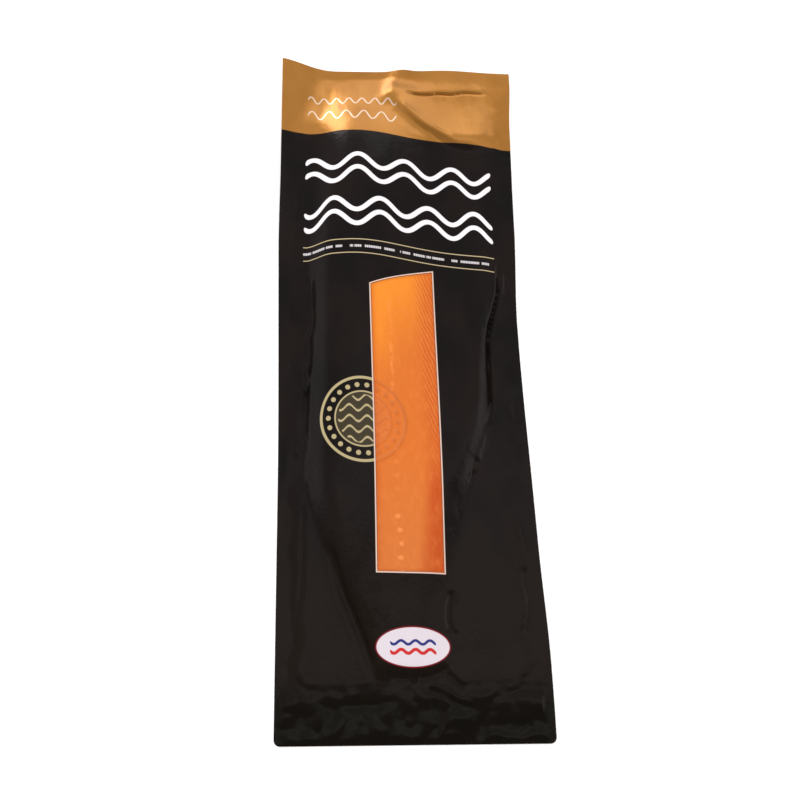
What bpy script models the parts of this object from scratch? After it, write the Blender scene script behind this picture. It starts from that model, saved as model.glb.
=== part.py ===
"""A long vacuum pouch that holds a whole side of smoked salmon on a board.

The pouch lies on its back: +X across, +Y along to the gold header, +Z up.
The origin is on the surface it rests on, under the middle of its outline.
Lengths are in millimetres until the last step, where MM turns them to metres.
"""

import math

import bmesh
import bpy

MM = 0.001

# Flat film: s runs across it and t along it, both from the middle
FILM_HALF_WIDTH = 111.0
FILM_BOTTOM = -310.1
FILM_TOP = 312.9
SEAL_THICKNESS = 0.8

# How the filled film lies: askew, shifted a little, and drawn in beside the thick fish
BOTTOM_EDGE_SLOPE = 0.01
PRINT_SLOPE = 0.083
TOP_EDGE_SLOPE = 0.04
FILM_SHIFT = 0.9
FILM_DRIFT = 2.8
DRIFT_BACK = 0.57
RIGHT_EDGE_PULL = 7.7
UPPER_PULL_LOSS = 0.44
TOP_PULL_LOSS = 0.3
RIGHT_EDGE_FLARE = 1.8
LEFT_EDGE_PULL = 1.6
TOP_EDGE_RISE = 1.5

# Board under the fish: it bends down flat towards the header
BOARD_HALF_WIDTH = 94.0
BOARD_BOTTOM = -268.0
BOARD_TOP = 300.0
BOARD_CORNER = 14.0
BOARD_THICKNESS = 2.6
BOARD_FADE = (225.0, 285.0)
DRAPE_SHARE = 0.95

# Side of salmon: the tail is narrow and thin, the loin runs up the left
TAIL_END = -260.0
HEAD_END = 306.0
HEAD_SLOPE = 120.0
TAIL_LEFT = -30.0
TAIL_RIGHT = 33.0
LEFT_FLARE = 57.0
HEAD_FLARE = 2.0
RIGHT_FLARE = 41.0
BELLY_FLARE = 12.0
TAIL_HEIGHT = 6.0
LOIN_HEIGHT = 25.5
BELLY_HEIGHT = 3.2
BELLY_SWELL = 6.5
LOIN_PLACE = 0.30
LOIN_SPREAD = 0.30

# Film over an edge of the fish: a hollow foot outside it, then a round shoulder
FOOT_SHARE = 0.35
LEFT_FOOT = 5.0
LEFT_RADII = (14.0, 27.0, 38.0)
RIGHT_FOOT = 4.0
RIGHT_RADII = (33.0, 15.0)
TAIL_FLANK = (3.0, 14.0)

# Film that stands off the surface, past the board
CORNER_CURL = 21.0
TOP_EDGE_HUMP = 2.0
HEADER_FOLD = 3.6
FOLD_LEAN = 0.41
HEADER_BULGE = 7.0
HEADER_CREASE = 284.0

# Clear window: its top edge slants and bows up a little
WINDOW_LEFT = -26.9
WINDOW_RIGHT = 28.4
WINDOW_BOTTOM = -175.1
WINDOW_TOP = 84.7
WINDOW_TOP_SLANT = 21.2
WINDOW_TOP_BOW = 1.5
POCKET_FLOOR = 3.2
WINDOW_FILM_THICKNESS = 0.5
GAP = 0.3

# Squares of the film's mesh
COLUMNS_LEFT = 15
COLUMNS_WINDOW = 7
COLUMNS_RIGHT = 12
ROWS_BELOW = 20
ROWS_WINDOW = 33
ROWS_ABOVE = 28
FILM_COLUMNS = COLUMNS_LEFT + COLUMNS_WINDOW + COLUMNS_RIGHT
SHARP_ANGLE = 50.0


def step(start, end, value):
    """Smooth step from 0 at start to 1 at end."""
    share = min(max((value - start) / (end - start), 0.0), 1.0)
    return share * share * (3.0 - 2.0 * share)


def bell(middle, spread, value):
    return math.exp(-(((value - middle) / spread) ** 2))


def shoulder(depth, radius):
    """Rounded edge: 0 at the edge, 1 once depth reaches radius."""
    share = min(max(depth / radius, 0.0), 1.0)
    return math.sin(share * math.pi / 2.0)


def blend_max(first, second, width):
    """The larger of two heights, with the corner between them filled."""
    share = min(max(0.5 + 0.5 * (first - second) / width, 0.0), 1.0)
    return second + (first - second) * share + width * share * (1.0 - share)


def film_to_plan(s, t):
    """Place of a point of the flat film once the pouch is filled and laid down."""
    slope = BOTTOM_EDGE_SLOPE + (PRINT_SLOPE - BOTTOM_EDGE_SLOPE) * step(FILM_BOTTOM, 110.0, t)
    slope -= (PRINT_SLOPE - TOP_EDGE_SLOPE) * step(236.0, FILM_TOP, t)
    drift = step(-110.0, 150.0, t) - DRIFT_BACK * step(150.0, 290.0, t)
    pull = step(-300.0, 40.0, t) - UPPER_PULL_LOSS * step(50.0, 150.0, t)
    pull -= TOP_PULL_LOSS * step(255.0, 305.0, t)
    pull = RIGHT_EDGE_PULL * pull - RIGHT_EDGE_FLARE * step(-150.0, -250.0, t)
    pull *= step(40.0, FILM_HALF_WIDTH, s)
    left_pull = LEFT_EDGE_PULL * step(110.0, 200.0, t) * step(-40.0, -FILM_HALF_WIDTH, s)
    rise = TOP_EDGE_RISE * bell(48.0, 36.0, s) * step(270.0, FILM_TOP, t)
    return s + FILM_SHIFT - FILM_DRIFT * drift - pull + left_pull, t - slope * s + rise


def board_height(x, y):
    middle = (BOARD_TOP + BOARD_BOTTOM) / 2.0
    half_length = (BOARD_TOP - BOARD_BOTTOM) / 2.0
    across = abs(x) - (BOARD_HALF_WIDTH - BOARD_CORNER)
    along = abs(y - middle) - (half_length - BOARD_CORNER)
    outside = math.hypot(max(across, 0.0), max(along, 0.0)) + min(max(across, along), 0.0)
    edge = step(-5.0, 4.0, BOARD_CORNER - outside)
    drape = DRAPE_SHARE * min(max((y - FILM_BOTTOM) / (BOARD_BOTTOM - FILM_BOTTOM), 0.0), 1.0)
    drape *= step(BOARD_HALF_WIDTH + 14.0, BOARD_HALF_WIDTH - 10.0, abs(x))
    drape *= step(18.0, 6.0, y - BOARD_BOTTOM)
    return BOARD_THICKNESS * max(edge, drape) * (1.0 - step(*BOARD_FADE, y))


def flank(depth, foot, radius):
    """Height of the film over an edge, as a share of the height behind it."""
    return FOOT_SHARE * step(-foot, 0.8 * radius, depth) + (1.0 - FOOT_SHARE) * shoulder(depth, radius)


def fish_edges(y):
    left = TAIL_LEFT - LEFT_FLARE * step(-285.0, -80.0, y) - HEAD_FLARE * step(150.0, 245.0, y)
    right = TAIL_RIGHT + RIGHT_FLARE * step(-210.0, -20.0, y) + BELLY_FLARE * step(10.0, 110.0, y)
    return left, right


def fish_height(x, y):
    left, right = fish_edges(y)
    loin = TAIL_HEIGHT + (LOIN_HEIGHT - TAIL_HEIGHT) * step(-290.0, 60.0, y)
    belly = BELLY_HEIGHT + BELLY_SWELL * bell(-95.0, 110.0, y)
    across = (x - left) / (right - left)
    back = belly + (loin - belly) * bell(LOIN_PLACE, LOIN_SPREAD, across)
    tail_radius, loin_radius, head_radius = LEFT_RADII
    left_radius = tail_radius + (loin_radius - tail_radius) * step(-230.0, -60.0, y)
    left_radius += (head_radius - loin_radius) * step(110.0, 220.0, y)
    right_radius = RIGHT_RADII[0] + (RIGHT_RADII[1] - RIGHT_RADII[0]) * step(-120.0, -20.0, y)
    sides = flank(x - left, LEFT_FOOT, left_radius) * flank(right - x, RIGHT_FOOT, right_radius)
    ends = flank(y - TAIL_END, *TAIL_FLANK) * shoulder(HEAD_END - y, HEAD_SLOPE)
    return back * sides * ends


def header_bulge(x, y):
    """Slack film that stands up in a lobe on the right of the header."""
    ridge = 275.5 - 1.16 * (x + 3.0) + 0.0055 * (x + 3.0) ** 2
    lobe = 0.68 * step(-8.0, 3.0, y - ridge) + 0.32 * step(-34.0, 0.0, y - ridge)
    lobe *= step(-16.0, 8.0, x) * (1.0 - step(70.0, 112.0, x)) * step(216.0, 238.0, y)
    fall = math.exp(-max(y - ridge, 0.0) / 42.0)
    return HEADER_BULGE * lobe * fall * (1.0 - step(HEADER_CREASE + 2.0, HEADER_CREASE + 20.0, y))


def film_lift(x, y):
    """Height of the underside, where the empty film curls off the surface."""
    curl = CORNER_CURL * step(90.0, 305.0, y) * step(-58.0, -116.0, x) ** 1.25
    fold = HEADER_FOLD * bell(FOLD_LEAN * (y - 270.0) - 13.0, 11.0, x) * step(266.0, 286.0, y)
    hump = TOP_EDGE_HUMP * bell(46.0, 36.0, x) * step(266.0, 312.0, y)
    return curl + fold + hump


def top_height(x, y):
    board = SEAL_THICKNESS + board_height(x, y)
    contents = blend_max(board, board + fish_height(x, y), 2.0) - 0.5
    contents = max(contents, SEAL_THICKNESS)
    return film_lift(x, y) + contents + header_bulge(x, y)


def window_top(s):
    across = min(max((s - WINDOW_LEFT) / (WINDOW_RIGHT - WINDOW_LEFT), 0.0), 1.0) - 0.5
    return WINDOW_TOP + WINDOW_TOP_SLANT * across + WINDOW_TOP_BOW * (1.0 - 4.0 * across ** 2)


def spread(first, last, count):
    return [first + (last - first) * index / count for index in range(count + 1)]


def film_columns():
    left = spread(-FILM_HALF_WIDTH, WINDOW_LEFT, COLUMNS_LEFT)
    window = spread(WINDOW_LEFT, WINDOW_RIGHT, COLUMNS_WINDOW)
    right = spread(WINDOW_RIGHT, FILM_HALF_WIDTH, COLUMNS_RIGHT)
    return left + window[1:] + right[1:]


def film_rows(s):
    """Distances along the film of the mesh's rows; those by the window follow its slant."""
    below = spread(FILM_BOTTOM, WINDOW_BOTTOM, ROWS_BELOW)
    beside = spread(WINDOW_BOTTOM, window_top(s), ROWS_WINDOW)
    above = spread(window_top(s), FILM_TOP, ROWS_ABOVE)
    return below + beside[1:] + above[1:]


def window_columns():
    """Columns of what lies in the window, clear of the film around it."""
    return spread(WINDOW_LEFT + GAP, WINDOW_RIGHT - GAP, COLUMNS_WINDOW)


def window_rows(s):
    return spread(WINDOW_BOTTOM + GAP, window_top(s) - GAP, ROWS_WINDOW)


def outline_middle():
    """Middle of the outline of the laid pouch, which goes over the origin."""
    ends = [film_to_plan(s, t) for s in film_columns() for t in (FILM_BOTTOM, FILM_TOP)]
    sides = [film_to_plan(s, t) for s in (-FILM_HALF_WIDTH, FILM_HALF_WIDTH) for t in film_rows(s)]
    across = [x for x, y in ends + sides]
    along = [y for x, y in ends + sides]
    return (min(across) + max(across)) / 2.0, (min(along) + max(along)) / 2.0


def film_sheet(columns, rows_at, height):
    """A sheet of squares laid over the plan of the film at height(x, y)."""
    across = len(columns) - 1
    along = len(rows_at(0.0)) - 1
    sheet = bmesh.new()
    bmesh.ops.create_grid(sheet, x_segments=across, y_segments=along, size=1.0)
    for corner in sheet.verts:
        column = round((corner.co.x + 1.0) / 2.0 * across)
        row = round((corner.co.y + 1.0) / 2.0 * along)
        s = columns[column]
        x, y = film_to_plan(s, rows_at(s)[row])
        corner.co = (x, y, height(x, y))
    return sheet


def extrude_to(sheet, faces, height):
    """Extrude faces, put the new corners at height(x, y) and return the new faces."""
    made = bmesh.ops.extrude_face_region(sheet, geom=faces)["geom"]
    for item in made:
        if isinstance(item, bmesh.types.BMVert):
            item.co.z = height(item.co.x, item.co.y)
    return [item for item in made if isinstance(item, bmesh.types.BMFace)]


def merge_level(sheet, faces):
    """Turn the level part of faces into one fan of triangles round its middle."""
    sheet.normal_update()
    level = {face for face in faces if abs(face.normal.z) > 1.0 - 1e-7}
    edges = {edge for face in level for edge in face.edges}
    inner = [edge for edge in edges if all(face in level for face in edge.link_faces)]
    bmesh.ops.dissolve_edges(sheet, edges=inner, use_verts=True)
    merged = [face for face in sheet.faces if len(face.verts) > 4]
    bmesh.ops.poke(sheet, faces=merged)


def material(name, colour, roughness, metallic=0.0):
    finish = bpy.data.materials.new(name)
    finish.use_nodes = True
    shader = finish.node_tree.nodes["Principled BSDF"]
    shader.inputs["Base Color"].default_value = (*colour, 1.0)
    shader.inputs["Roughness"].default_value = roughness
    shader.inputs["Metallic"].default_value = metallic
    return finish


def add_object(name, sheet, finish):
    """Turn a bmesh in millimetres into a smooth object in metres, over the origin."""
    middle_x, middle_y = outline_middle()
    bmesh.ops.translate(sheet, vec=(-middle_x, -middle_y, 0.0), verts=sheet.verts)
    bmesh.ops.scale(sheet, vec=(MM, MM, MM), verts=sheet.verts)
    bmesh.ops.recalc_face_normals(sheet, faces=sheet.faces)
    mesh = bpy.data.meshes.new(name)
    sheet.to_mesh(mesh)
    sheet.free()
    mesh.materials.append(finish)
    mesh.shade_smooth()
    mesh.set_sharp_from_angle(angle=math.radians(SHARP_ANGLE))
    item = bpy.data.objects.new(name, mesh)
    bpy.context.collection.objects.link(item)
    return item


def in_window(face):
    """Whether a square of the pouch's sheet lies in the clear window."""
    column, row = face.index % FILM_COLUMNS, face.index // FILM_COLUMNS
    beside = COLUMNS_LEFT <= column < COLUMNS_LEFT + COLUMNS_WINDOW
    return beside and ROWS_BELOW <= row < ROWS_BELOW + ROWS_WINDOW


def make_pouch():
    """Printed film drawn tight over the fish and board, with a pocket under the window."""
    sheet = film_sheet(film_columns(), film_rows, top_height)
    sheet.faces.index_update()
    window = [face for face in sheet.faces if in_window(face)]
    back = extrude_to(sheet, sheet.faces[:], film_lift)
    floor = extrude_to(sheet, window, lambda x, y: POCKET_FLOOR)
    bmesh.ops.delete(sheet, geom=window, context="FACES")
    merge_level(sheet, back)
    merge_level(sheet, floor)
    film = material("printed_film", (0.013, 0.011, 0.010), 0.35)
    return add_object("pouch", sheet, film)


def make_salmon():
    """The flesh that shows in the window, down to the floor of the pocket."""

    def top(x, y):
        return top_height(x, y) - WINDOW_FILM_THICKNESS - GAP

    sheet = film_sheet(window_columns(), window_rows, top)
    base = extrude_to(sheet, sheet.faces[:], lambda x, y: POCKET_FLOOR + GAP)
    merge_level(sheet, base)
    flesh = material("salmon_flesh", (0.80, 0.22, 0.035), 0.4)
    return add_object("salmon", sheet, flesh)


def make_window_film():
    """The clear pane, level with the printed film around it."""
    sheet = film_sheet(window_columns(), window_rows, top_height)
    extrude_to(sheet, sheet.faces[:], lambda x, y: top_height(x, y) - WINDOW_FILM_THICKNESS)
    clear = material("clear_film", (0.9, 0.5, 0.3), 0.1)
    return add_object("window_film", sheet, clear)


for old in list(bpy.data.objects):
    bpy.data.objects.remove(old, do_unlink=True)
make_pouch()
make_salmon()
make_window_film()
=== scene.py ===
import math

import bmesh
import bpy
import numpy as np
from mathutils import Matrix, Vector, noise


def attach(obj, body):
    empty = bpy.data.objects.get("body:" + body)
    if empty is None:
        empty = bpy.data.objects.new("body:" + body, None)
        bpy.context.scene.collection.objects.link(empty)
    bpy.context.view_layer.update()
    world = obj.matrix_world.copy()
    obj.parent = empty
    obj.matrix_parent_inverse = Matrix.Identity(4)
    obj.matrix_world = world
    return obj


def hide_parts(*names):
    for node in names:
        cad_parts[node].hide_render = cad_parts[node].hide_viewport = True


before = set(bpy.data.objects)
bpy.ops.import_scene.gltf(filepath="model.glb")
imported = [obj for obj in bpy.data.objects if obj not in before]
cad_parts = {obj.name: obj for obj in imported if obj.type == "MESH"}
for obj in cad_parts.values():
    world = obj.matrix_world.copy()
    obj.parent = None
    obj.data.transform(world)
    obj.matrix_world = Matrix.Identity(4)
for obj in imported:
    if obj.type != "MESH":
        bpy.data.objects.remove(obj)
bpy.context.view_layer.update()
mm = 0.001

# The flat film, in mm: s runs across it and t along it, both from its middle
film = {"halfWidth": 111.0, "bottom": -310.1, "top": 312.9, "edge": 0.55, "sealWidth": 7.0, "pitch": 3.0,
        "corner": 5.0}
window = {"left": -26.9, "right": 28.4, "bottom": -175.1, "top": 84.7, "slant": 21.2, "bow": 1.5,
          "floor": 3.2, "border": 1.1, "gap": 0.3}


def step(start, end, value):
    share = np.clip((value - start) / (end - start), 0.0, 1.0)
    return share * share * (3.0 - 2.0 * share)


def change(values, zones, place):
    total = values[0]
    for before, after, zone in zip(values, values[1:], zones):
        total = total + (after - before) * step(*zone, place)
    return total


def bell(middle, spread, value):
    return np.exp(-(((value - middle) / spread) ** 2))


def shoulder(depth, radius):
    return np.sin(np.clip(depth / radius, 0.0, 1.0) * math.pi / 2.0)


def blendMax(first, second, width):
    share = np.clip(0.5 + 0.5 * (first - second) / width, 0.0, 1.0)
    return second + (first - second) * share + width * share * (1.0 - share)


def ripple(x, y, size, seed, stretch=1.0):
    places = zip(np.ravel(x) / size, np.ravel(y) / (size * stretch))
    values = [noise.noise(Vector((a, b, seed))) for a, b in places]
    return np.array(values).reshape(np.shape(x))


# How the filled film lies: shifted a little along its length, askew, and drawn in beside the thick fish.
# Here and below, a zone is where a change starts and ends, in mm
lay = {"slopes": (0.01, 0.083, 0.04), "slopeZones": ((film["bottom"], 110.0), (236.0, film["top"])),
       "shift": 0.9, "drift": (0.0, 1.0, 0.43), "driftZones": ((-110.0, 150.0), (150.0, 290.0)),
       "driftBy": 2.8, "pull": (0.0, 1.0, 0.56, 0.26), "pullBy": 7.7,
       "pullZones": ((-300.0, 40.0), (50.0, 150.0), (255.0, 305.0)),
       "flare": 1.8, "flareZone": (-150.0, -250.0), "leftPull": 1.6, "leftZone": (110.0, 200.0),
       "topRise": 1.5, "topRiseAt": (48.0, 36.0), "topZone": (270.0, film["top"])}


def roundCorner(s, t):
    across = np.maximum(np.abs(s) - film["halfWidth"] + film["corner"], 0.0) / film["corner"]
    along = np.maximum(film["bottom"] + film["corner"] - t, 0.0) / film["corner"]
    inward = film["corner"] * across * (1.0 - np.sqrt(1.0 - along ** 2 / 2.0))
    upward = film["corner"] * along * (1.0 - np.sqrt(1.0 - across ** 2 / 2.0))
    return s - np.sign(s) * inward, t + upward


def layFilm(s, t):
    s, t = roundCorner(s, t)
    slope = change(lay["slopes"], lay["slopeZones"], t)
    drift = lay["shift"] - lay["driftBy"] * change(lay["drift"], lay["driftZones"], t)
    pull = lay["pullBy"] * change(lay["pull"], lay["pullZones"], t)
    pull = (pull - lay["flare"] * step(*lay["flareZone"], t)) * step(40.0, film["halfWidth"], s)
    leftPull = lay["leftPull"] * step(*lay["leftZone"], t) * step(-40.0, -film["halfWidth"], s)
    rise = lay["topRise"] * bell(*lay["topRiseAt"], s) * step(*lay["topZone"], t)
    return s + drift - pull + leftPull, t - slope * s + rise


# What the film is drawn over: a board, and a side of salmon with its loin on the left
board = {"halfWidth": 94.0, "bottom": -268.0, "top": 300.0, "corner": 14.0, "thickness": 2.6, "waver": 5.0,
         "drape": 0.95, "fade": (225.0, 285.0)}
fish = {"left": (-30.0, -87.0, -89.0), "leftZones": ((-285.0, -80.0), (150.0, 245.0)),
        "right": (33.0, 74.0, 86.0), "rightZones": ((-210.0, -20.0), (10.0, 110.0)),
        "leftFoot": 5.0, "leftRadii": (14.0, 27.0, 38.0),
        "leftRadiusZones": ((-230.0, -60.0), (110.0, 220.0)),
        "rightFoot": 4.0, "rightRadii": (33.0, 15.0), "rightRadiusZones": ((-120.0, -20.0),),
        "tail": -260.0, "tailFoot": 3.0, "tailRadius": 14.0, "head": 306.0, "headSlope": 120.0,
        "loin": (6.0, 25.5), "loinZones": ((-290.0, 60.0),), "loinAt": (0.30, 0.30),
        "belly": 3.2, "bellyRise": 6.5, "bellyAt": (-95.0, 110.0), "footShare": 0.35, "fillet": 2.0}
# The header: its left corner curls up, a fold leans over its middle, and a shallow lobe bulges on the right
header = {"curl": 21.0, "curlZones": ((90.0, 305.0), (-58.0, -116.0)),
          "fold": 3.6, "foldFoot": (-13.0, 270.0), "foldLean": 0.41, "foldWidth": 11.0,
          "foldZone": (266.0, 286.0), "hump": 2.0, "humpAt": (46.0, 36.0), "humpZone": (266.0, 312.0)}
lobe = {"height": 7.0, "edge": (-3.0, 275.5), "slope": 1.16, "bend": 0.0055, "rimShare": 0.68,
        "rim": (-8.0, 3.0), "skirt": (-34.0, 0.0), "left": (-16.0, 8.0), "right": (112.0, 70.0),
        "foot": (216.0, 238.0), "top": (304.0, 286.0), "fall": 42.0}


def boardHeight(x, y):
    middle = (board["top"] + board["bottom"]) / 2.0
    halfLength = (board["top"] - board["bottom"]) / 2.0
    across = np.abs(x) - (board["halfWidth"] - board["corner"])
    along = np.abs(y - middle) - (halfLength - board["corner"])
    outside = np.hypot(np.maximum(across, 0.0), np.maximum(along, 0.0))
    outside = outside + np.minimum(np.maximum(across, along), 0.0)
    outside = outside + board["waver"] * ripple(x, y, 24.0, 3.0)
    slope = step(-6.0, 6.0, board["corner"] - outside)
    drape = board["drape"] * np.clip((y - film["bottom"]) / (board["bottom"] - film["bottom"]), 0.0, 1.0)
    drape = drape * step(board["halfWidth"] + 14.0, board["halfWidth"] - 10.0, np.abs(x))
    drape = drape * step(18.0, 6.0, y - board["bottom"])
    return board["thickness"] * np.maximum(slope, drape) * (1.0 - step(*board["fade"], y))


def flank(depth, foot, radius):
    share = fish["footShare"]
    return share * step(-foot, radius * 0.8, depth) + (1.0 - share) * shoulder(depth, radius)


def fishHeight(x, y):
    left = change(fish["left"], fish["leftZones"], y)
    right = change(fish["right"], fish["rightZones"], y)
    loin = change(fish["loin"], fish["loinZones"], y)
    belly = fish["belly"] + fish["bellyRise"] * bell(*fish["bellyAt"], y)
    back = belly + (loin - belly) * bell(*fish["loinAt"], (x - left) / (right - left))
    leftFlank = flank(x - left, fish["leftFoot"], change(fish["leftRadii"], fish["leftRadiusZones"], y))
    rightFlank = flank(right - x, fish["rightFoot"], change(fish["rightRadii"], fish["rightRadiusZones"], y))
    tail = flank(y - fish["tail"], fish["tailFoot"], fish["tailRadius"])
    return back * leftFlank * rightFlank * tail * shoulder(fish["head"] - y, fish["headSlope"])


def headerBulge(x, y):
    across = x - lobe["edge"][0]
    above = y - (lobe["edge"][1] - lobe["slope"] * across + lobe["bend"] * across ** 2)
    bulge = lobe["rimShare"] * step(*lobe["rim"], above)
    bulge = bulge + (1.0 - lobe["rimShare"]) * step(*lobe["skirt"], above)
    bulge = bulge * np.exp(-np.maximum(above, 0.0) / lobe["fall"])
    bulge = bulge * step(*lobe["left"], x) * step(*lobe["right"], x)
    return lobe["height"] * bulge * step(*lobe["foot"], y) * step(*lobe["top"], y)


def filmLift(x, y):
    along, across = header["curlZones"]
    curl = header["curl"] * step(*along, y) * step(*across, x) ** 1.25
    ridge = header["foldFoot"][0] + header["foldLean"] * (y - header["foldFoot"][1])
    fold = header["fold"] * bell(ridge, header["foldWidth"], x) * step(*header["foldZone"], y)
    return curl + fold + header["hump"] * bell(*header["humpAt"], x) * step(*header["humpZone"], y)


# Creases in the film, as lines in mm: depth is positive for a groove and negative for a ridge,
# width is half its width, and lip is a raised edge on its left (or right, if negative)
creases = [
    {"path": [(6, 286.5), (16, 284.5), (28, 284), (40, 285.5), (52, 285), (63, 287), (74, 286.5), (88, 286)],
     "depth": 2.6, "width": 1.2, "lip": 0.0},
    {"path": [(2, 272), (12, 258), (22, 248), (38, 238.5), (56, 227)],
     "depth": -0.9, "width": 2.2, "lip": 0.0},
    {"path": [(-6, 266), (4, 253), (16, 243), (30, 234)], "depth": 0.8, "width": 5.0, "lip": 0.0},
    {"path": [(88, 114), (87, 92), (86, 78), (82, 60), (77, 42), (75, 28), (74.5, 5), (74.5, -20),
              (73.5, -46)],
     "depth": 2.3, "width": 1.6, "lip": 0.9},
    {"path": [(73, -44), (68, -60), (62, -78), (56, -94)], "depth": -1.3, "width": 3.0, "lip": 0.0},
    {"path": [(60, -78), (57, -88), (54, -99)], "depth": 1.8, "width": 2.6, "lip": 0.0},
    {"path": [(-83, 96), (-82, 72), (-81.5, 48), (-84, 34), (-83.5, 18), (-86, -8)],
     "depth": 3.0, "width": 2.6, "lip": 0.0},
    {"path": [(-86, 0), (-87, -40), (-89, -77), (-90, -104)], "depth": 2.0, "width": 2.6, "lip": 0.2},
    {"path": [(-88.5, -112), (-88.7, -161), (-89.5, -190), (-92, -201), (-98, -212)],
     "depth": 1.5, "width": 1.9, "lip": 0.5},
    {"path": [(-101, -190), (-97, -212), (-97, -240)], "depth": 1.2, "width": 2.2, "lip": 0.3},
    {"path": [(-68, -146), (-61, -165), (-53, -193), (-47, -207), (-35.5, -237), (-28.5, -262)],
     "depth": 2.4, "width": 3.2, "lip": -0.3},
    {"path": [(-20, -253), (-10, -258), (-1, -258)], "depth": 2.0, "width": 2.8, "lip": 0.0},
    {"path": [(5, -259), (18, -257), (30, -251)], "depth": 2.0, "width": 2.8, "lip": 0.0},
    {"path": [(28, -255), (34, -261), (42, -268)], "depth": 1.6, "width": 1.9, "lip": 0.4},
    {"path": [(36, -190), (32, -200), (31, -212), (33, -226)], "depth": 1.8, "width": 1.9, "lip": 1.0},
    {"path": [(96.5, -172), (97.5, -188), (99.8, -202)], "depth": 1.3, "width": 1.9, "lip": 0.3},
    {"path": [(-97, -243), (-94, -256), (-84, -266), (-60, -269), (-26, -267)],
     "depth": 0.3, "width": 2.4, "lip": 0.1},
    {"path": [(60, -275), (72, -275), (84, -271), (93, -264)], "depth": 0.4, "width": 2.4, "lip": 0.1},
    {"path": [(13, -267.5), (25, -272.5), (36, -279), (50, -284)], "depth": 1.7, "width": 1.9, "lip": 0.9},
    {"path": [(19.5, -296), (19, -306)], "depth": 0.9, "width": 1.6, "lip": 0.5},
]
# Dents and bumps of the slack film, as ellipses in mm
dents = [
    {"place": (-78, 250), "radii": (13, 13), "depth": -1.2},
    {"place": (64, 232), "radii": (7, 8), "depth": -0.5},
    {"place": (-104, 165), "radii": (6, 45), "depth": -0.5},
    {"place": (104, 172), "radii": (6, 40), "depth": -0.5},
    {"place": (-104, -76), "radii": (6, 26), "depth": -0.5},
    {"place": (-64, -284), "radii": (7, 11), "depth": 1.7},
    {"place": (-40, -279), "radii": (15, 5), "depth": 1.2},
    {"place": (19, -283), "radii": (5, 8), "depth": 1.4},
    {"place": (36, -291), "radii": (12, 7), "depth": -0.9},
    {"place": (80, -298), "radii": (15, 5), "depth": 1.4},
    {"place": (55, -300), "radii": (4, 9), "depth": 1.2},
    {"place": (-88, -289), "radii": (9, 9), "depth": 1.0},
    {"place": (-97, -30), "radii": (8, 20), "depth": -0.8},
    {"place": (100, -35), "radii": (6, 10), "depth": 0.9},
    {"place": (-98, -62), "radii": (5, 16), "depth": -1.0},
]


def smoothPath(points, pitch):
    ends = [2 * Vector(points[0]) - Vector(points[1]), 2 * Vector(points[-1]) - Vector(points[-2])]
    knots = [ends[0]] + [Vector(point) for point in points] + [ends[1]]
    path = []
    for before, start, end, after in zip(knots, knots[1:], knots[2:], knots[3:]):
        count = max(1, round((end - start).length / pitch))
        for index in range(count):
            share = index / count
            bend = (2 * before - 5 * start + 4 * end - after) * share ** 2
            twist = (-before + 3 * start - 3 * end + after) * share ** 3
            path.append(start + 0.5 * ((end - before) * share + bend + twist))
    return path + [knots[-2]]


# How each crease starts, ends and wavers along its path; a lip stands beside the groove in widths of it
creaseForm = {"pitch": 4.0, "start": (0.0, 0.12), "end": (1.0, 0.86), "waver": 0.35, "waverSize": 13.0,
              "lipAt": 2.1, "lipWidth": 0.9}


def creaseHeight(x, y, crease):
    path = smoothPath(crease["path"], creaseForm["pitch"])
    nearest = np.full(np.shape(x), 1e9)
    side = np.zeros(np.shape(x))
    along = np.zeros(np.shape(x))
    for index, (start, end) in enumerate(zip(path, path[1:])):
        run = end - start
        share = np.clip(((x - start.x) * run.x + (y - start.y) * run.y) / run.length_squared, 0.0, 1.0)
        acrossX = x - start.x - share * run.x
        acrossY = y - start.y - share * run.y
        distance = np.hypot(acrossX, acrossY)
        closer = distance < nearest
        nearest = np.where(closer, distance, nearest)
        side = np.where(closer, np.sign(run.x * acrossY - run.y * acrossX), side)
        along = np.where(closer, (index + share) / (len(path) - 1), along)
    fade = np.minimum(step(*creaseForm["start"], along), step(*creaseForm["end"], along))
    wide = crease["width"]
    waver = creaseForm["waver"] * min(1.0, 2.0 / wide)
    fade = fade * (1.0 + waver * ripple(x, y, creaseForm["waverSize"], 11.0))
    lipAt = math.copysign(creaseForm["lipAt"], crease["lip"]) * wide
    lip = abs(crease["lip"]) * bell(lipAt, creaseForm["lipWidth"] * wide, nearest * side)
    return fade * (lip - crease["depth"] * bell(0.0, wide, nearest))


# Slack film: how much it crumples over the fish, in the two ends and in the margins, in mm
slack = {"dent": 1.5, "endDent": 0.4, "bottomZone": (-276.0, -262.0), "topZone": (228.0, 262.0),
         "marginZone": (84.0, 96.0), "rest": 0.10, "bottom": 2.4, "top": 0.2, "margin": 0.25, "calm": 0.4,
         "crumple": 1.3, "crumpleSize": 18.0, "crossShare": 0.5, "crossSize": 19.0,
         "roll": 0.35, "rollSize": 38.0}


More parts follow.
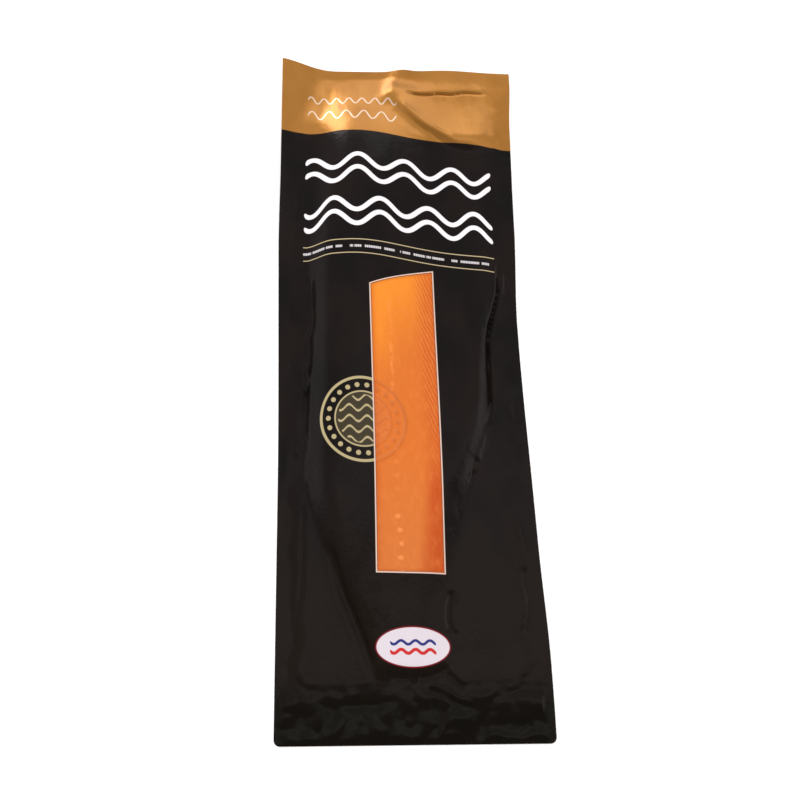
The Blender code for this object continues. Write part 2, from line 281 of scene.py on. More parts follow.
def slackHeight(x, y):
    bottom = 1.0 - step(*slack["bottomZone"], y)
    top = step(*slack["topZone"], y)
    margin = step(*slack["marginZone"], np.abs(x))
    z = np.zeros(np.shape(x))
    for crease in creases:
        z = z + creaseHeight(x, y, crease)
    for dent in dents:
        far = ((x - dent["place"][0]) / dent["radii"][0]) ** 2
        far = far + ((y - dent["place"][1]) / dent["radii"][1]) ** 2
        z = z - slack["dent"] * dent["depth"] * np.exp(-far) * (1.0 + slack["endDent"] * bottom)
    amount = slack["rest"] + slack["bottom"] * bottom + slack["top"] * top
    amount = amount + slack["margin"] * margin * (1.0 - bottom)
    crumple = np.abs(ripple(x, y, slack["crumpleSize"], 5.0, 1.5)) - slack["calm"] * (1.0 - bottom)
    cross = np.abs(ripple(x + 0.7 * y, y - 0.7 * x, slack["crossSize"], 7.0))
    crumple = crumple + slack["crossShare"] * cross
    return z + slack["crumple"] * amount * crumple + slack["roll"] * ripple(x, y, slack["rollSize"], 9.0)


def frontHeight(x, y):
    base = film["edge"] + boardHeight(x, y)
    filled = blendMax(base, base + fishHeight(x, y), fish["fillet"]) - fish["fillet"] / 4.0
    filled = filled + headerBulge(x, y)
    sealed = step(0.0, film["sealWidth"], edgeDepth(x, y))
    return filmLift(x, y) + np.maximum(filled + sealed * slackHeight(x, y), film["edge"] * 0.8)


def backHeight(x, y):
    return filmLift(x, y)


def edgeDepth(x, y):
    return np.minimum(film["halfWidth"] - 2.0 - np.abs(x), np.minimum(y - film["bottom"], film["top"] - y))


def windowTop(s):
    across = min(max((s - window["left"]) / (window["right"] - window["left"]), 0.0), 1.0) - 0.5
    return window["top"] + window["slant"] * across + window["bow"] * (1.0 - 4.0 * across ** 2)


def spread(first, last, pitch):
    count = max(1, round((last - first) / pitch))
    return [first + (last - first) * index / count for index in range(count + 1)]


def flatSheet(columns, rowsAt):
    across = len(columns) - 1
    along = len(rowsAt(0.0)) - 1
    sheet = bmesh.new()
    bmesh.ops.create_grid(sheet, x_segments=across, y_segments=along, size=1.0)
    for corner in sheet.verts:
        s = columns[round((corner.co.x + 1.0) / 2.0 * across)]
        corner.co = (s, rowsAt(s)[round((corner.co.y + 1.0) / 2.0 * along)], 0.0)
    return sheet


def extrudeTo(sheet, faces, layer):
    made = bmesh.ops.extrude_face_region(sheet, geom=faces)["geom"]
    for item in made:
        if isinstance(item, bmesh.types.BMVert):
            item.co.z = layer
    return [item for item in made if isinstance(item, bmesh.types.BMFace)]


def layMesh(name, sheet, height, finishes):
    bmesh.ops.recalc_face_normals(sheet, faces=sheet.faces)
    mesh = bpy.data.meshes.new(name)
    sheet.to_mesh(mesh)
    sheet.free()
    flat = np.zeros(len(mesh.vertices) * 3, np.float32)
    mesh.vertices.foreach_get("co", flat)
    flat = flat.reshape(-1, 3).astype(float)
    corners = np.zeros(len(mesh.loops), np.int32)
    mesh.loops.foreach_get("vertex_index", corners)
    uv = mesh.uv_layers.new(name="film")
    uv.uv.foreach_set("vector", (flat[corners, :2] * mm + 0.5).astype(np.float32).ravel())
    x, y = layFilm(flat[:, 0], flat[:, 1])
    z = height(x, y, flat[:, 2])
    placed = np.column_stack((x - middle[0], y - middle[1], z)) * mm
    mesh.vertices.foreach_set("co", placed.astype(np.float32).ravel())
    for finish in finishes:
        mesh.materials.append(finish)
    mesh.shade_smooth()
    mesh.set_sharp_from_angle(angle=math.radians(60.0))
    mesh.update()
    piece = bpy.data.objects.new(name, mesh)
    bpy.context.scene.collection.objects.link(piece)
    return piece


def outlineMiddle():
    edge = np.linspace(-1.0, 1.0, 400)
    across = film["halfWidth"] * edge
    along = (film["top"] + film["bottom"]) / 2.0 + (film["top"] - film["bottom"]) / 2.0 * edge
    sides = [layFilm(across, film["bottom"] + 0 * edge), layFilm(across, film["top"] + 0 * edge),
             layFilm(-film["halfWidth"] + 0 * edge, along), layFilm(film["halfWidth"] + 0 * edge, along)]
    x = np.concatenate([side[0] for side in sides])
    y = np.concatenate([side[1] for side in sides])
    return (x.min() + x.max()) / 2.0, (y.min() + y.max()) / 2.0


middle = outlineMiddle()

# Camera: looks steeply down on the lying pack; its target is a place on the film, in mm
camera = {"elevation": 72.0, "azimuth": -1.2, "distance": 0.8954, "target": (-4.3, -23.4), "lens": 46.0}


def addCamera():
    elevation = math.radians(camera["elevation"])
    azimuth = math.radians(camera["azimuth"])
    back = Vector((math.sin(azimuth) * math.cos(elevation), -math.cos(azimuth) * math.cos(elevation),
                   math.sin(elevation)))
    target = Vector((camera["target"][0] - middle[0], camera["target"][1] - middle[1], 0.0)) * mm
    data = bpy.data.cameras.new("camera")
    data.lens = camera["lens"]
    data.sensor_width = 36.0
    data.clip_start = 0.01
    view = bpy.data.objects.new("camera", data)
    view.location = target + back * camera["distance"]
    view.rotation_euler = back.to_track_quat("Z", "Y").to_euler()
    bpy.context.scene.collection.objects.link(view)
    bpy.context.scene.camera = view


addCamera()
print("camera placed")


class Nodes:

    def __init__(self, tree):
        self.tree = tree

    def add(self, kind, **settings):
        node = self.tree.nodes.new(kind)
        for key, value in settings.items():
            setattr(node, key, value)
        return node

    def feed(self, socket, value):
        if isinstance(value, bpy.types.NodeSocket):
            self.tree.links.new(value, socket)
        elif value is not None:
            socket.default_value = value

    def math(self, operation, a, b=None):
        node = self.add("ShaderNodeMath", operation=operation)
        self.feed(node.inputs[0], a)
        self.feed(node.inputs[1], b)
        return node.outputs[0]

    def plus(self, a, b):
        return self.math("ADD", a, b)

    def minus(self, a, b):
        return self.math("SUBTRACT", a, b)

    def times(self, a, b):
        return self.math("MULTIPLY", a, b)

    def rise(self, value, low, high):
        node = self.add("ShaderNodeMapRange", interpolation_type="SMOOTHSTEP")
        self.feed(node.inputs[0], value)
        self.feed(node.inputs[1], low)
        self.feed(node.inputs[2], high)
        return node.outputs[0]

    def inside(self, distance, soft=0.5):
        return self.minus(1.0, self.rise(distance, -soft / 2, soft / 2))

    def size(self, value):
        return self.math("ABSOLUTE", value)

    def length(self, a, b):
        return self.math("SQRT", self.plus(self.times(a, a), self.times(b, b)))

    def away(self, value, middle, half):
        return self.minus(self.size(self.minus(value, middle)), half)

    def vector(self, x, y, z=0.0):
        node = self.add("ShaderNodeCombineXYZ")
        for socket, value in zip(node.inputs, (x, y, z)):
            self.feed(socket, value)
        return node.outputs[0]

    def noise(self, place, scale, detail):
        node = self.add("ShaderNodeTexNoise")
        self.feed(node.inputs["Vector"], place)
        node.inputs["Scale"].default_value = scale
        node.inputs["Detail"].default_value = detail
        return node.outputs[0]

    def patches(self, s, t, scales, detail):
        return self.noise(self.vector(self.times(s, scales[0]), self.times(t, scales[1])), 1.0, detail)

    def both(self, *masks):
        result = masks[0]
        for mask in masks[1:]:
            result = self.math("MULTIPLY", result, mask)
        return result

    def either(self, *masks):
        result = masks[0]
        for mask in masks[1:]:
            result = self.math("MAXIMUM", result, mask)
        return result

    def mix(self, share, a, b):
        node = self.add("ShaderNodeMix", data_type="RGBA")
        self.feed(node.inputs[0], share)
        self.feed(node.inputs[6], a if isinstance(a, bpy.types.NodeSocket) else (*a, 1.0))
        self.feed(node.inputs[7], b if isinstance(b, bpy.types.NodeSocket) else (*b, 1.0))
        return node.outputs[2]

    def blend(self, share, a, b):
        node = self.add("ShaderNodeMix", data_type="FLOAT")
        self.feed(node.inputs[0], share)
        self.feed(node.inputs[2], a)
        self.feed(node.inputs[3], b)
        return node.outputs[0]

    def bump(self, shader, height, distance):
        node = self.add("ShaderNodeBump")
        node.inputs["Distance"].default_value = distance
        self.feed(node.inputs["Height"], height)
        self.feed(shader.inputs["Normal"], node.outputs[0])

    def place(self, group, **given):
        node = self.add("ShaderNodeGroup", node_tree=group)
        for label, value in given.items():
            self.feed(node.inputs[label], value)
        return list(node.outputs)


def srgb(red, green, blue):
    def linear(value):
        value /= 255.0
        return value / 12.92 if value <= 0.04045 else ((value + 0.055) / 1.055) ** 2.4
    return (linear(red), linear(green), linear(blue))


def newGroup(name, inputs, outputs):
    group = bpy.data.node_groups.new(name, "ShaderNodeTree")
    for direction, sockets in (("INPUT", inputs), ("OUTPUT", outputs)):
        for label, kind in sockets:
            group.interface.new_socket(label, in_out=direction, socket_type="NodeSocket" + kind)
    n = Nodes(group)
    return group, n, n.add("NodeGroupInput").outputs, n.add("NodeGroupOutput").inputs


def newMaterial(name):
    finish = bpy.data.materials.new(name)
    finish.use_nodes = True
    return finish, finish.node_tree.nodes["Principled BSDF"], Nodes(finish.node_tree)


# Turns the piece's own UV map back into s and t on the film, in mm
def makeFilmPlace():
    group, n, given, made = newGroup("filmPlace", [("Map", "Vector")], [("s", "Float"), ("t", "Float")])
    split = n.add("ShaderNodeSeparateXYZ")
    n.feed(split.inputs[0], given["Map"])
    n.feed(made["s"], n.times(n.minus(split.outputs[0], 0.5), 1000.0))
    n.feed(made["t"], n.times(n.minus(split.outputs[1], 0.5), 1000.0))
    return group


# Round stamp printed in pale gold on the film: it runs on over the window as a faint mark
stamp = {"centre": (-36.8, -48.9), "radius": 37.0, "rim": 2.4, "innerRadius": 23.6, "innerRim": 1.3,
         "beads": 22, "beadRing": 29.4, "beadSize": 2.1, "wave": 15.0, "waveRise": 2.6, "waveGap": 9.2,
         "stroke": 2.0, "clear": 2.6, "hatch": 3.2, "fill": 0.22}


def makeStampPrint():
    group, n, given, made = newGroup("stampPrint", [("s", "Float"), ("t", "Float")],
                                     [("Line", "Float"), ("Fill", "Float")])
    across = n.minus(given["s"], stamp["centre"][0])
    along = n.minus(given["t"], stamp["centre"][1])
    reach = n.length(across, along)
    rim = n.away(reach, stamp["radius"] - stamp["rim"] / 2, stamp["rim"] / 2)
    innerRim = n.away(reach, stamp["innerRadius"], stamp["innerRim"] / 2)
    turn = 2.0 * math.pi / stamp["beads"]
    angle = n.math("ARCTAN2", along, across)
    around = n.times(n.math("PINGPONG", angle, turn / 2), stamp["beadRing"])
    bead = n.minus(n.length(n.minus(reach, stamp["beadRing"]), around), stamp["beadSize"])
    wave = n.times(n.math("SINE", n.times(across, 2.0 * math.pi / stamp["wave"])), stamp["waveRise"])
    row = n.math("PINGPONG", n.plus(n.minus(along, wave), 40.0 * stamp["waveGap"]), stamp["waveGap"] / 2)
    ripples = n.either(n.minus(row, stamp["stroke"] / 2),
                       n.minus(reach, stamp["innerRadius"] - stamp["clear"]))
    hatch = n.rise(n.math("SINE", n.times(n.plus(across, along), stamp["hatch"])), -0.2, 0.6)
    n.feed(made["Line"], n.either(n.inside(rim), n.inside(innerRim), n.inside(bead), n.inside(ripples)))
    n.feed(made["Fill"], n.both(n.inside(n.minus(reach, stamp["innerRadius"])), hatch))
    return group


# Fine crinkles of drawn film, for bump: long ones along the pack and small ones every way
crinkles = {"long": (0.045, 0.020), "small": (0.30, 0.26), "cloud": (0.022, 0.014)}


def makeFilmCrinkle():
    group, n, given, made = newGroup("filmCrinkle", [("s", "Float"), ("t", "Float"), ("Small", "Float")],
                                     [("Height", "Float"), ("Cloud", "Float")])
    long = n.patches(given["s"], given["t"], crinkles["long"], 3.0)
    small = n.patches(given["s"], given["t"], crinkles["small"], 3.0)
    n.feed(made["Height"], n.plus(long, n.times(n.minus(small, 0.5), given["Small"])))
    n.feed(made["Cloud"], n.patches(given["s"], given["t"], crinkles["cloud"], 2.0))
    return group


filmPlace = makeFilmPlace()
stampPrint = makeStampPrint()
filmCrinkle = makeFilmCrinkle()

# Print on the film, in mm on the flat film; colours are given as seen in even light, except the black's
# painted warm reflection towards the tail and painted shade on the bottom seal band
ink = {"goldEdge": 232.0, "goldDark": (196, 132, 55), "goldPale": (212, 147, 68), "goldCloud": (0.3, 0.7),
       "blackDark": (16, 12, 12), "blackPale": (24, 18, 16), "blackCloud": (0.36, 0.64),
       "blackWarmReflection": (24, 17, 13), "lowZone": (-70.0, -230.0),
       "blackSealShade": (15, 12, 7), "sealZone": (-248.0, -284.0),
       "pale": (176, 162, 122), "white": (236, 232, 236), "line": (196, 180, 140), "border": (218, 190, 176),
       "header": (250, 222, 196), "titleStroke": 4.5, "headerStroke": 1.5}
titleWaves = [
    {"place": (1.0, 190.6), "half": 86.5, "gap": 14.0, "rise": 6.6, "period": 43.5, "shift": 0.6},
    {"place": (1.0, 146.0), "half": 86.5, "gap": 14.0, "rise": 6.6, "period": 43.5, "shift": 3.9},
]
headerWaves = [
    {"place": (-44.0, 273.0), "half": 42.0, "gap": 0.0, "rise": 3.6, "period": 12.4, "shift": 0.0},
    {"place": (-44.0, 253.5), "half": 42.0, "gap": 0.0, "rise": 5.2, "period": 16.8, "shift": 1.0},
]
captions = {"left": -88.5, "right": 90.5, "line": 116.6, "gap": 13.3, "stroke": 0.8, "dash": 2.3,
            "share": 0.75, "wordScale": 0.23, "letterPace": 3.9, "gapEvery": 22.4}
badge = {"centre": (1.0, -235.0), "radii": (29.5, 15.4), "rim": 1.1, "white": (214, 206, 214),
         "rimRed": (120, 16, 30), "waves": ((44, 52, 120), (196, 44, 44)), "strokes": (2.2, 2.6)}
badgeWaves = [
    {"place": (1.0, -231.5), "half": 17.5, "gap": 0.0, "rise": 1.5, "period": 11.7, "shift": 0.0},
    {"place": (1.0, -238.5), "half": 17.5, "gap": 0.0, "rise": 1.5, "period": 11.7, "shift": 0.0},
]


def waveLine(n, s, t, wave, stroke):
    pace = 2.0 * math.pi / wave["period"]
    phase = n.plus(n.times(s, pace), wave["shift"])
    offset = n.minus(n.minus(t, wave["place"][1]), n.times(n.math("SINE", phase), wave["rise"]))
    steep = n.times(n.math("COSINE", phase), wave["rise"] * pace)
    stretch = n.length(steep, 1.0)
    distance = n.math("DIVIDE", n.size(n.minus(n.size(offset), wave["gap"] / 2)), stretch)
    beyond = n.either(n.away(s, wave["place"][0], wave["half"]), 0.0)
    return n.inside(n.minus(n.length(distance, beyond), stroke / 2))


def windowEdge(n, s, t):
    middleS = (window["left"] + window["right"]) / 2
    half = (window["right"] - window["left"]) / 2
    across = n.minus(s, middleS)
    share = n.times(across, 1.0 / half)
    bow = n.times(n.minus(1.0, n.times(share, share)), window["bow"])
    top = n.plus(n.plus(n.times(across, window["slant"] / (2 * half)), window["top"]), bow)
    return n.either(n.minus(n.size(across), half), n.minus(t, top), n.minus(window["bottom"], t))


def captionRow(n, s, t):
    drop = n.minus(t, captions["line"])
    line = n.either(n.inside(n.away(drop, 0.0, captions["stroke"] / 2)),
                    n.inside(n.away(drop, -captions["gap"], captions["stroke"] / 2)))
    word = n.rise(n.noise(n.vector(n.times(s, captions["wordScale"]), 4.0), 1.0, 0.0), 0.36, 0.42)
    letter = n.blend(n.rise(n.math("SINE", n.times(s, captions["letterPace"])), -0.9, -0.2), 0.35, 1.0)
    row = n.inside(n.away(drop, -captions["gap"] / 2, captions["dash"] / 2))
    gapAt = n.math("PINGPONG", n.minus(s, captions["left"] + 400.0), captions["gapEvery"])
    end = n.rise(s, captions["right"] - 3.0, captions["right"] - 3.5)
    dashes = n.both(row, word, letter, n.rise(gapAt, 2.0, 3.0), end)
    span = n.both(n.rise(s, captions["left"], captions["left"] + 0.5),
                  n.rise(s, captions["right"], captions["right"] - 0.5))
    return n.both(line, span), n.both(dashes, span)


def badgeShape(n, s, t, grow):
    across = n.times(n.minus(s, badge["centre"][0]), 1.0 / (badge["radii"][0] + grow))
    along = n.times(n.minus(t, badge["centre"][1]), 1.0 / (badge["radii"][1] + grow))
    return n.inside(n.times(n.minus(n.length(across, along), 1.0), badge["radii"][1] + grow))


def paint(n, share, under, colour):
    return n.mix(share, under, srgb(*colour))


def baseInks(n, cloud):
    black = n.mix(n.rise(cloud, *ink["blackCloud"]), srgb(*ink["blackDark"]), srgb(*ink["blackPale"]))
    gold = n.mix(n.rise(cloud, *ink["goldCloud"]), srgb(*ink["goldDark"]), srgb(*ink["goldPale"]))
    return black, gold


def printColour(n, s, t, isGold, cloud):
    colour, gold = baseInks(n, cloud)
    # painted warm reflection: the black turns browner towards the tail
    colour = paint(n, n.rise(t, *ink["lowZone"]), colour, ink["blackWarmReflection"])
    # painted shade: the bottom seal band is darker
    colour = paint(n, n.rise(t, *ink["sealZone"]), colour, ink["blackSealShade"])
    stampLine, stampFill = n.place(stampPrint, s=s, t=t)
    colour = paint(n, n.times(stampFill, stamp["fill"]), colour, ink["pale"])
    colour = paint(n, stampLine, colour, ink["pale"])
    for wave in titleWaves:
        colour = paint(n, waveLine(n, s, t, wave, ink["titleStroke"]), colour, ink["white"])
    lines, dashes = captionRow(n, s, t)
    colour = paint(n, n.times(dashes, captions["share"]), colour, ink["white"])
    colour = paint(n, lines, colour, ink["line"])
    colour = paint(n, n.inside(n.minus(windowEdge(n, s, t), window["border"])), colour, ink["border"])
    colour = paint(n, badgeShape(n, s, t, badge["rim"]), colour, badge["rimRed"])
    colour = paint(n, badgeShape(n, s, t, 0.0), colour, badge["white"])
    for wave, stroke, shade in zip(badgeWaves, badge["strokes"], badge["waves"]):
        colour = paint(n, waveLine(n, s, t, wave, stroke), colour, shade)
    for wave in headerWaves:
        gold = paint(n, waveLine(n, s, t, wave, ink["headerStroke"]), gold, ink["header"])
    return n.mix(isGold, colour, gold)


def placeOnFilm(n):
    uv = n.add("ShaderNodeUVMap", uv_map="film")
    return n.place(filmPlace, Map=uv.outputs[0])


# Gloss of the printed film: clear black, and gold as a softer metal under a thin clear coat
gloss = {"black": 0.17, "gold": 0.26, "vary": 0.08, "metal": 0.7, "coat": 0.5, "coatRough": 0.15,
         "specular": 0.2, "small": 0.12, "bump": 0.0012, "backSmall": 0.25, "backBump": 0.0006}


def filmFinish(name, printed):
    finish, shader, n = newMaterial(name)
    s, t = placeOnFilm(n)
    height, cloud = n.place(filmCrinkle, s=s, t=t, Small=gloss["small"] if printed else gloss["backSmall"])
    n.bump(shader, height, gloss["bump"] if printed else gloss["backBump"])
    isGold = n.rise(n.minus(t, ink["goldEdge"]), -0.4, 0.4)
    if printed:
        colour = printColour(n, s, t, isGold, cloud)
        n.feed(shader.inputs["Coat Weight"], n.times(isGold, gloss["coat"]))
        shader.inputs["Coat Roughness"].default_value = gloss["coatRough"]
    else:
        colour = n.mix(isGold, *baseInks(n, cloud))
    n.feed(shader.inputs["Base Color"], colour)
    n.feed(shader.inputs["Metallic"], n.times(isGold, gloss["metal"]))
    rough = n.blend(isGold, gloss["black"], gloss["gold"])
    n.feed(shader.inputs["Roughness"], n.plus(rough, n.times(height, gloss["vary"])))
    shader.inputs["Specular IOR Level"].default_value = gloss["specular"]
    return finish


# Salmon flesh: warm orange that reddens towards the tail and the belly, with a row of pin-bone marks
# and slanting fat lines, painted shade along the window's edges and a painted shadow of the stamp print;
# places in mm on the film
flesh = {"upper": (238, 142, 40), "middle": (214, 114, 42), "lower": (208, 116, 52), "red": (192, 80, 24),
         "fat": (244, 150, 76), "grooveAndShade": (188, 82, 22), "pin": (250, 158, 88), "patch": 0.52,
         "fatPitch": 3.1, "fatSteep": 2.3, "fatShare": 0.28, "grooveShare": 0.42, "grainShare": 0.16,
         "edgeShade": 0.4, "stampShade": 0.3, "rough": 0.32, "roughVary": 0.2, "bump": 0.0003,
         "specular": 0.15, "under": 0.4, "pitch": 1.5, "upperZone": (10.0, 130.0),
         "lowerZone": (-60.0, -175.0), "rightZone": (8.0, 27.0), "leftZone": (-19.0, -27.0),
         "patchZone": (21.0, 32.0), "patchRows": (-70.0, -110.0), "fatZone": (17.0, 25.0),
         "fatRows": (-125.0, -20.0)}
pins = {"line": -10.2, "lean": 0.012, "waver": 5.0, "tailShift": 1.5, "pitch": 11.4, "start": 608.3,
        "across": 0.55, "along": 0.6, "share": 0.62, "streak": 0.4, "faint": 0.35,
        "tailZone": (-110.0, -175.0), "low": (-117.0, -123.0),
        "middle": ((-66.0, -76.0), (-113.0, -106.0)), "high": ((-34.0, -16.0), (70.0, 50.0))}


def pinMarks(n, s, t, wander, grain):
    line = n.minus(pins["line"], n.times(t, pins["lean"]))
    line = n.minus(line, n.times(n.minus(wander, 0.5), pins["waver"]))
    line = n.plus(line, n.times(n.rise(t, *pins["tailZone"]), pins["tailShift"]))
    off = n.plus(n.minus(s, line), n.times(n.minus(grain, 0.5), pins["waver"]))
    across = n.times(off, pins["across"])
    along = n.times(n.math("PINGPONG", n.plus(t, pins["start"]), pins["pitch"] / 2), pins["along"])
    mark = n.inside(n.minus(n.length(across, along), 1.0), 1.6)
    streak = n.both(n.inside(n.minus(n.size(off), 1.0), 2.4), n.rise(grain, 0.4, 0.65), pins["streak"])
    middleRows = n.both(*[n.rise(t, *zone) for zone in pins["middle"]])
    high = n.both(*[n.rise(t, *zone) for zone in pins["high"]])
    faint = n.times(n.either(high, middleRows), pins["faint"])
    marks = n.both(mark, n.either(n.rise(t, *pins["low"]), faint))
    return n.either(n.times(marks, pins["share"]), n.both(streak, high))


def fleshGround(n, s, t, wander):
    cloud = n.patches(s, t, (0.045, 0.02), 2.0)
    upper = n.plus(n.minus(t, n.times(s, 1.3)), n.times(cloud, 50.0))
    colour = paint(n, n.rise(upper, *flesh["upperZone"]), srgb(*flesh["middle"]), flesh["upper"])
    colour = paint(n, n.rise(t, *flesh["lowerZone"]), colour, flesh["lower"])
    side = n.plus(n.times(n.rise(s, *flesh["rightZone"]), 0.5), n.times(n.rise(s, *flesh["leftZone"]), 0.25))
    patch = n.rise(n.minus(n.plus(s, n.times(t, -0.12)), n.times(wander, 6.0)), *flesh["patchZone"])
    patch = n.both(patch, n.rise(t, *flesh["patchRows"]))
    red = n.math("MINIMUM", n.plus(side, n.times(patch, flesh["patch"])), 1.0)
    return paint(n, n.both(red, n.rise(wander, 0.05, 0.5)), colour, flesh["red"])


def fleshMaterial():
    finish, shader, n = newMaterial("salmonFlesh")
    s, t = placeOnFilm(n)
    wander = n.patches(s, t, (0.05, 0.05), 3.0)
    grain = n.patches(s, t, (0.22, 0.11), 3.0)
    slanted = n.times(n.plus(n.times(s, flesh["fatSteep"]), t), 1.0 / math.hypot(flesh["fatSteep"], 1.0))
    wave = n.math("SINE", n.plus(n.times(slanted, 2.0 * math.pi / flesh["fatPitch"]), n.times(wander, 9.0)))
    reach = n.rise(n.plus(n.plus(s, n.times(wander, 9.0)), n.times(t, 0.05)), *flesh["fatZone"])
    reach = n.both(reach, n.rise(t, *flesh["fatRows"]), n.rise(grain, 0.2, 0.55))
    # the stamp print shifted a little, to paint its shadow on the flesh
    ghost = n.place(stampPrint, s=n.plus(s, -1.0), t=n.plus(t, 1.6))[0]
    colour = fleshGround(n, s, t, wander)
    for share, shade in ((n.times(n.both(n.rise(wave, 0.0, 1.0), reach), flesh["fatShare"]), "fat"),
                         (n.times(n.both(n.rise(wave, 0.0, -1.0), reach), flesh["grooveShare"]), "grooveAndShade"),
                         (pinMarks(n, s, t, wander, grain), "pin"),
                         (n.times(n.rise(grain, 0.45, 0.75), flesh["grainShare"]), "fat"),
                         # painted shade: the flesh darker along the window's edges, and under the stamp
                         # print as its painted shadow
                         (n.times(n.rise(windowEdge(n, s, t), -4.0, 0.0), flesh["edgeShade"]), "grooveAndShade"),
                         (n.times(ghost, flesh["stampShade"]), "grooveAndShade")):
        colour = paint(n, share, colour, flesh[shade])
    n.feed(shader.inputs["Base Color"], colour)
    n.feed(shader.inputs["Roughness"], n.plus(n.times(grain, flesh["roughVary"]), flesh["rough"]))
    n.bump(shader, n.plus(grain, n.times(n.both(wave, reach), 0.3)), flesh["bump"])
    shader.inputs["Specular IOR Level"].default_value = flesh["specular"]
    return finish


# Clear film over the window: a thin sheen, with the stamp's print as a faint mark on it
pane = {"print": (250, 200, 150), "clear": (0.95, 0.95, 0.95), "rough": 0.12, "sheen": 0.45, "haze": 0.003,
        "ghost": 0.065, "ghostFill": 0.3, "thickness": 0.15, "pitch": 2.0}


def clearFilm():
    finish, shader, n = newMaterial("clearFilm")
    s, t = placeOnFilm(n)
    height = n.place(filmCrinkle, s=s, t=t, Small=gloss["small"])[0]
    n.bump(shader, height, gloss["bump"])
    line, fill = n.place(stampPrint, s=s, t=t)
    facing = n.add("ShaderNodeLayerWeight")
    facing.inputs["Blend"].default_value = 0.5
    sheen = n.times(n.math("POWER", facing.outputs["Facing"], 4.0), pane["sheen"])
    ghost = n.times(n.plus(line, n.times(fill, pane["ghostFill"])), pane["ghost"])
    n.feed(shader.inputs["Base Color"], paint(n, line, pane["clear"], pane["print"]))
    shader.inputs["Metallic"].default_value = 1.0
    shader.inputs["Roughness"].default_value = pane["rough"]
    n.feed(shader.inputs["Alpha"], n.plus(n.plus(sheen, ghost), pane["haze"]))
    return finish


def inWindow(face):
    centre = face.calc_center_median()
    beside = window["left"] < centre.x < window["right"]
    return beside and window["bottom"] < centre.y < windowTop(centre.x)


def makePouch():
    pitch = film["pitch"]
    columns = spread(-film["halfWidth"], window["left"], pitch)
    columns += spread(window["left"], window["right"], pitch)[1:]
    columns += spread(window["right"], film["halfWidth"], pitch)[1:]
    levels = (film["bottom"], window["bottom"], window["top"], film["top"])
    counts = [len(spread(low, high, pitch)) - 1 for low, high in zip(levels, levels[1:])]

    def rowsAt(s):
        stops = (film["bottom"], window["bottom"], windowTop(s), film["top"])
        rows = [stops[0]]
        for low, high, count in zip(stops, stops[1:], counts):
            rows += [low + (high - low) * (index + 1) / count for index in range(count)]
        return rows

    sheet = flatSheet(columns, rowsAt)
    front = sheet.faces[:]
    opening = [face for face in front if inWindow(face)]
    extrudeTo(sheet, front, -2.0)
    extrudeTo(sheet, opening, -1.0)
    bmesh.ops.delete(sheet, geom=opening, context="FACES")
    edges = {edge for face in front if face.is_valid for edge in face.edges}
    bmesh.ops.subdivide_edges(sheet, edges=list(edges), cuts=1, use_grid_fill=True)

    def height(x, y, layer):
        z = np.where(layer > -0.5, frontHeight(x, y), backHeight(x, y))
        return np.where(np.abs(layer + 1.0) < 0.1, window["floor"], z)

    for face in sheet.faces:
        face.material_index = 0 if all(corner.co.z > -0.5 for corner in face.verts) else 1
    finishes = [filmFinish("printedFilm", True), filmFinish("backFilm", False)]
    return layMesh("pouchFilm", sheet, height, finishes)


def windowSheet(pitch):
    gap = window["gap"]
    columns = spread(window["left"] + gap, window["right"] - gap, pitch)
    count = len(spread(window["bottom"], window["top"], pitch)) - 1

    def rowsAt(s):
        low, high = window["bottom"] + gap, windowTop(s) - gap
        return [low + (high - low) * index / count for index in range(count + 1)]

    return flatSheet(columns, rowsAt)


def makePane():
    sheet = windowSheet(pane["pitch"])
    extrudeTo(sheet, sheet.faces[:], -1.0)

    def height(x, y, layer):
        return frontHeight(x, y) + layer * pane["thickness"]

    return layMesh("windowPane", sheet, height, [clearFilm()])


def makeSalmon():
    sheet = windowSheet(flesh["pitch"])
    extrudeTo(sheet, sheet.faces[:], -1.0)

    def height(x, y, layer):
        return np.where(layer > -0.5, frontHeight(x, y) - flesh["under"], window["floor"] + window["gap"])

    return layMesh("salmonFlesh", sheet, height, [fleshMaterial()])


pouch = makePouch()
print("pouch laid", len(pouch.data.polygons))
clearPane = makePane()
salmon = makeSalmon()
print("window filled")
for piece, node, slot in ((pouch, "pouch", "printed_film"), (clearPane, "window_film", "clear_film"),
                          (salmon, "salmon", "salmon_flesh")):
    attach(piece, "root")
    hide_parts(node)


floor = {"size": 6.0, "under": 0.0002, "colour": (0.98, 0.985, 0.99, 1.0), "rough": 0.9, "specular": 0.1,
         "glow": 0.06}


def addFloor():
    sheet = bmesh.new()
    bmesh.ops.create_grid(sheet, x_segments=2, y_segments=2, size=floor["size"])
    bmesh.ops.translate(sheet, vec=(0.0, 0.0, -floor["under"]), verts=sheet.verts)
    mesh = bpy.data.meshes.new("floor")
    sheet.to_mesh(mesh)
    sheet.free()
    finish, shader = newMaterial("floor")[:2]
    shader.inputs["Base Color"].default_value = floor["colour"]
    shader.inputs["Roughness"].default_value = floor["rough"]
    shader.inputs["Specular IOR Level"].default_value = floor["specular"]
    shader.inputs["Emission Strength"].default_value = floor["glow"]
    mesh.materials.append(finish)
    ground = bpy.data.objects.new("floor", mesh)
    ground.visible_glossy = False
    bpy.context.scene.collection.objects.link(ground)
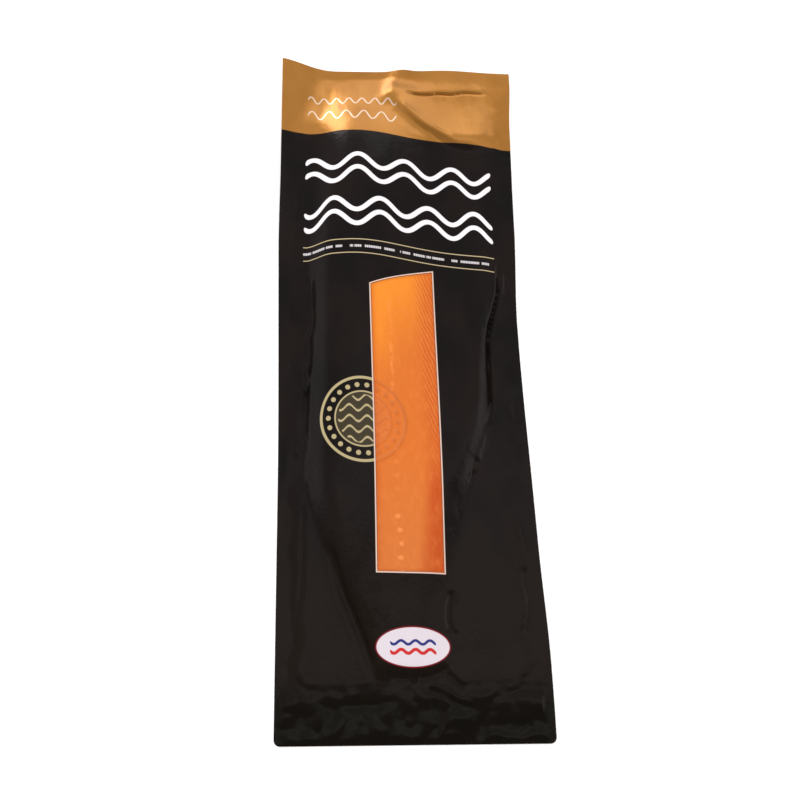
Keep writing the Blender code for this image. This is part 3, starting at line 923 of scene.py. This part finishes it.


# Studio: even white light all round; reflections see a dim room with a bright band low on the far side,
# a bright side wall, small lamps, and the room darkening a little towards the right
studio = {"fill": 1.02, "tint": (1.0, 0.965, 0.95), "above": 0.80, "far": 0.41, "farZone": (0.05, 0.42),
          "near": 0.13, "nearZone": (-0.12, 0.09), "lean": 0.15, "lowZone": (0.1, 0.3),
          "band": 1.02, "bandZone": (0.70, 0.94), "side": 1.2, "sideZone": (0.72, 0.88)}
lamps = [
    {"way": (-0.42, 0.845, 0.33), "power": 4.6, "zone": (0.966, 0.992)},
    {"way": (-0.37, 0.915, 0.16), "power": 3.2, "zone": (0.972, 0.992)},
    {"way": (0.26, 0.84, 0.47), "power": 1.15, "zone": (0.94, 0.985)},
    {"way": (-0.66, 0.33, 0.67), "power": 0.36, "zone": (0.76, 0.95)},
]
keyLight = {"place": (-0.9, 1.5, 2.2), "size": (1.8, 1.2), "power": 30.0}


def addKeyLight():
    data = bpy.data.lights.new("key", "AREA")
    data.shape = "RECTANGLE"
    data.size, data.size_y = keyLight["size"]
    data.energy = keyLight["power"]
    light = bpy.data.objects.new("key", data)
    light.location = keyLight["place"]
    light.rotation_euler = Vector(keyLight["place"]).to_track_quat("Z", "Y").to_euler()
    light.visible_glossy = False
    bpy.context.scene.collection.objects.link(light)


def addStudio():
    world = bpy.data.worlds.new("studio")
    world.use_nodes = True
    n = Nodes(world.node_tree)
    direction = n.add("ShaderNodeTexCoord").outputs["Generated"]
    split = n.add("ShaderNodeSeparateXYZ")
    n.feed(split.inputs[0], direction)
    x, y, z = split.outputs
    room = n.blend(n.rise(y, *studio["farZone"]), studio["above"], studio["far"])
    room = n.blend(n.rise(y, *studio["nearZone"]), studio["near"], room)
    room = n.times(room, n.minus(1.0, n.times(x, studio["lean"])))
    low = n.rise(z, *studio["lowZone"])
    seen = n.blend(n.both(n.rise(y, *studio["bandZone"]), low), room, studio["band"])
    seen = n.blend(n.both(n.rise(x, *studio["sideZone"]), low), seen, studio["side"])
    for lamp in lamps:
        toward = n.add("ShaderNodeVectorMath", operation="DOT_PRODUCT")
        n.feed(toward.inputs[0], direction)
        toward.inputs[1].default_value = lamp["way"]
        seen = n.blend(n.rise(toward.outputs["Value"], *lamp["zone"]), seen, lamp["power"])
    path = n.add("ShaderNodeLightPath")
    background = world.node_tree.nodes["Background"]
    background.inputs[0].default_value = (*studio["tint"], 1.0)
    n.feed(background.inputs[1], n.blend(path.outputs["Is Glossy Ray"], studio["fill"], seen))
    bpy.context.scene.world = world


addFloor()
addKeyLight()
addStudio()
bpy.context.scene.view_settings.view_transform = "Standard"
print("studio ready")
